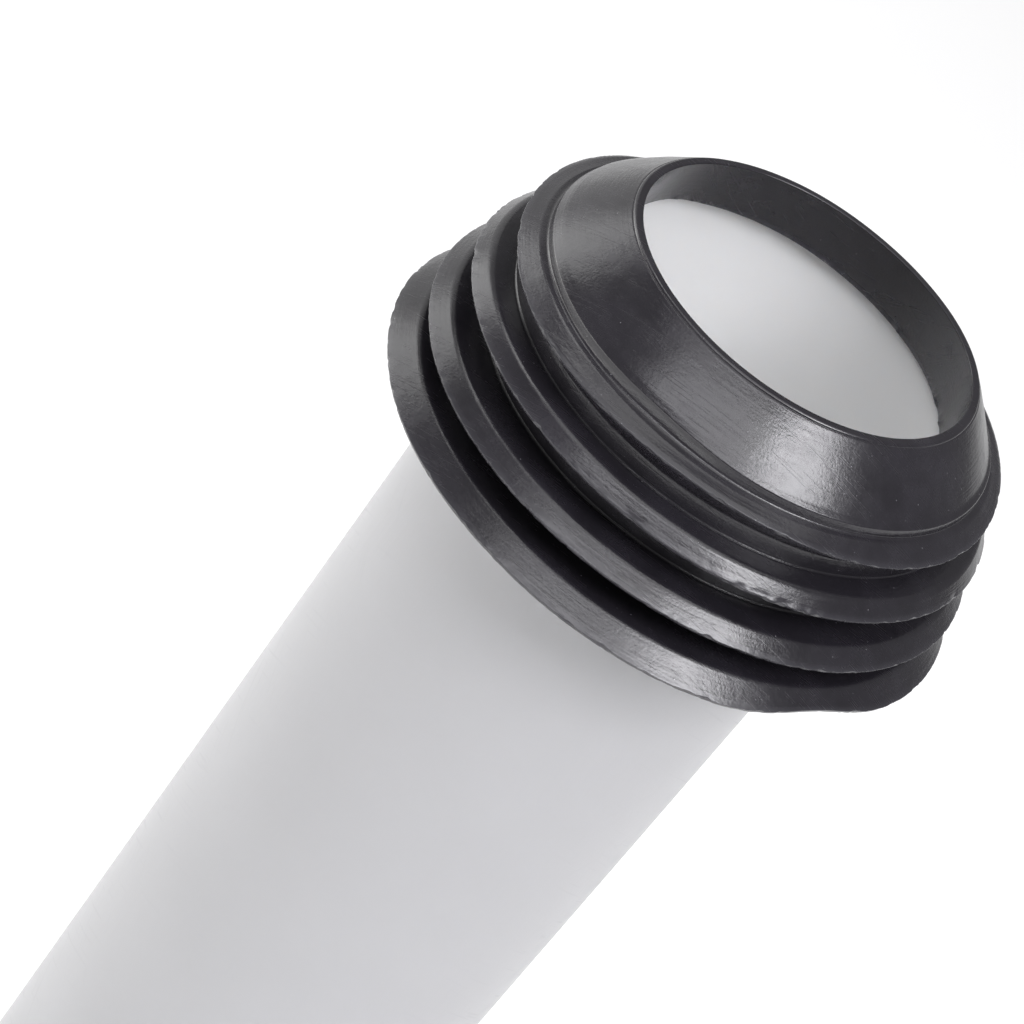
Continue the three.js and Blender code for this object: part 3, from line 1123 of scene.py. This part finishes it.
@dataclass(frozen=True)
class Softbox:
    """A rectangular light that faces the seal's mouth. Angles are in degrees, as the mouth sees it."""

    title: str
    azimuth: float  # from +X towards +Y
    elevation: float
    width: float
    height: float
    radiance: float
    distance: float = 1.2  # in metres
    colour: tuple[float, float, float] = (1.0, 1.0, 1.0)

    def place(self, aim: Vector) -> None:
        """Adds the light.

        Args:
            aim: the point that it faces, in metres.
        """
        lamp = bpy.data.lights.new(self.title, "AREA")
        lamp.shape = "RECTANGLE"
        lamp.size, lamp.size_y = (
            2 * self.distance * math.tan(math.radians(angle) / 2) for angle in (self.width, self.height)
        )
        lamp.energy = self.radiance * math.pi * lamp.size * lamp.size_y
        lamp.color = self.colour
        light = bpy.data.objects.new(self.title, lamp)
        facing = (
            Matrix.Rotation(math.radians(self.azimuth + 90), 4, "Z")
            @ Matrix.Rotation(math.radians(90 - self.elevation), 4, "X")
        )
        away = facing @ Vector((0.0, 0.0, self.distance))
        light.matrix_world = Matrix.Translation(aim + away) @ facing
        bpy.context.scene.collection.objects.link(light)


@dataclass(frozen=True)
class Studio:
    """A white floor, softboxes, a dim room and the camera. Lengths are in metres."""

    mouth: float
    lens: float = 108.6
    camera_azimuth: float = 1.82
    camera_elevation: float = 34.7
    camera_roll: float = 36.95
    camera_distance: float = 0.3226
    camera_aim: tuple[float, float] = (-0.00972, -0.04152)  # along +X, and up from the mouth
    camera_sees: tuple[float, float] = (0.01, 30.0)  # from and to, in metres
    floor_radius: float = 4.0
    floor_sides: int = 96
    floor_colour: str = "#dcdcdc"
    floor_roughness: float = 0.9
    glow: float = 0.4  # of the floor
    room: float = 0.2
    softboxes: Sequence[Softbox] = (
        Softbox("key softbox", -36.0, 45.0, 23.0, 25.0, 11.6, colour=(0.97, 0.965, 1.0)),
        Softbox("front softbox", -90.0, 54.0, 49.0, 19.0, 3.6, colour=(0.97, 0.965, 1.0)),
        Softbox("left softbox", 157.0, 11.0, 24.0, 42.0, 2.4),
        Softbox("left fill panel", 125.0, 11.0, 40.0, 42.0, 0.5),
        Softbox("low left strip", 190.0, -8.0, 70.0, 13.0, 2.8, 0.9, (1.0, 0.985, 0.95)),
        Softbox("low front strip", -107.0, -7.0, 52.0, 13.0, 1.6, 0.9),
        Softbox("back panel", 90.0, 76.0, 44.0, 24.0, 1.3),
        Softbox("front panel", -90.0, 80.0, 60.0, 18.0, 1.8),
        Softbox("high left panel", 150.0, 53.0, 26.0, 16.0, 2.6),
    )

    def build(self) -> None:
        """Adds the camera, the room, the lights and the floor."""
        scene = bpy.context.scene
        scene.view_settings.view_transform = "Standard"
        scene.camera = self._camera()
        world = bpy.data.worlds.new("room")
        world.use_nodes = True
        world.node_tree.nodes["Background"].inputs["Color"].default_value = (self.room,) * 3 + (1.0,)
        scene.world = world
        for softbox in self.softboxes:
            softbox.place(Vector((0.0, 0.0, self.mouth)))
        self._floor()
        log.info("studio: %d softboxes", len(self.softboxes))

    def _camera(self) -> bpy.types.Object:
        """Looks down at the seal, rolled so that the pipe leaves by the lower left.

        Returns:
            The camera.
        """
        azimuth, elevation, roll = (
            math.radians(a) for a in (self.camera_azimuth, self.camera_elevation, self.camera_roll)
        )
        turn = (
            Matrix.Rotation(azimuth, 3, "Z")
            @ Matrix.Rotation(math.pi / 2 - elevation, 3, "X")
            @ Matrix.Rotation(roll, 3, "Z")
        )
        aim = Vector((self.camera_aim[0], 0.0, self.mouth + self.camera_aim[1]))
        lens = bpy.data.cameras.new("camera")
        lens.lens = self.lens
        lens.sensor_width = 36.0
        lens.clip_start, lens.clip_end = self.camera_sees
        camera = bpy.data.objects.new("camera", lens)
        camera.matrix_world = (
            Matrix.Translation(aim + turn @ Vector((0.0, 0.0, self.camera_distance))) @ turn.to_4x4()
        )
        bpy.context.scene.collection.objects.link(camera)
        return camera

    def _floor(self) -> None:
        """A matt white floor under the object, lit a little from below as a light table is."""
        angles = [TURN * i / self.floor_sides for i in range(self.floor_sides)]
        rim = [(self.floor_radius * math.cos(a), self.floor_radius * math.sin(a), 0.0) for a in angles]
        mesh = bpy.data.meshes.new("floor")
        mesh.from_pydata(rim, [], [tuple(range(self.floor_sides))])
        floor = bpy.data.objects.new("floor", mesh)
        paint = bpy.data.materials.new("matt white floor paint")
        paint.use_nodes = True
        shader = paint.node_tree.nodes["Principled BSDF"]
        give(shader, {"Base Color": linear(self.floor_colour), "Roughness": self.floor_roughness})
        give(shader, {"Emission Color": (1.0, 1.0, 1.0, 1.0), "Emission Strength": self.glow})
        mesh.materials.append(paint)
        bpy.context.scene.collection.objects.link(floor)


# ---- making it ----


def size_of(node: str) -> tuple[float, float, float]:
    """A CAD node's outer radius, lowest point and highest point, in millimetres."""
    low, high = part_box(node)
    return (high[0] - low[0]) / 2 / MM, low[2] / MM, high[2] / MM


def main() -> None:
    """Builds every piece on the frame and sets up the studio."""
    logging.basicConfig(level=logging.INFO, format="%(name)s: %(message)s")
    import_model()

    pipe_radius, _, pipe_length = size_of("flush_pipe")
    _, tail, mouth = size_of("pan_seal")
    _, _, nut_height = size_of("coupling_nut")
    ring_radius, ring_bottom, ring_top = size_of("slip_ring")
    washer_radius, toe, washer_top = size_of("cone_washer")
    pieces: list[TurnedPiece] = [
        FlushPipe(radius=pipe_radius, length=pipe_length),
        PanSeal(pipe_radius=pipe_radius, mouth=mouth, tail=tail),
        CouplingNut(pipe_radius=pipe_radius, height=nut_height),
        SlipRing(bore=pipe_radius + LOOSE_GAP, outside=ring_radius, bottom=ring_bottom, top=ring_top),
        ConeWasher(bore=pipe_radius + RUBBER_GAP, outside=washer_radius, bottom=toe, top=washer_top),
    ]
    for piece in pieces:
        piece.build()
    Studio(mouth=mouth * MM).build()

    bpy.context.view_layer.update()


if __name__ == "__main__":
    main()
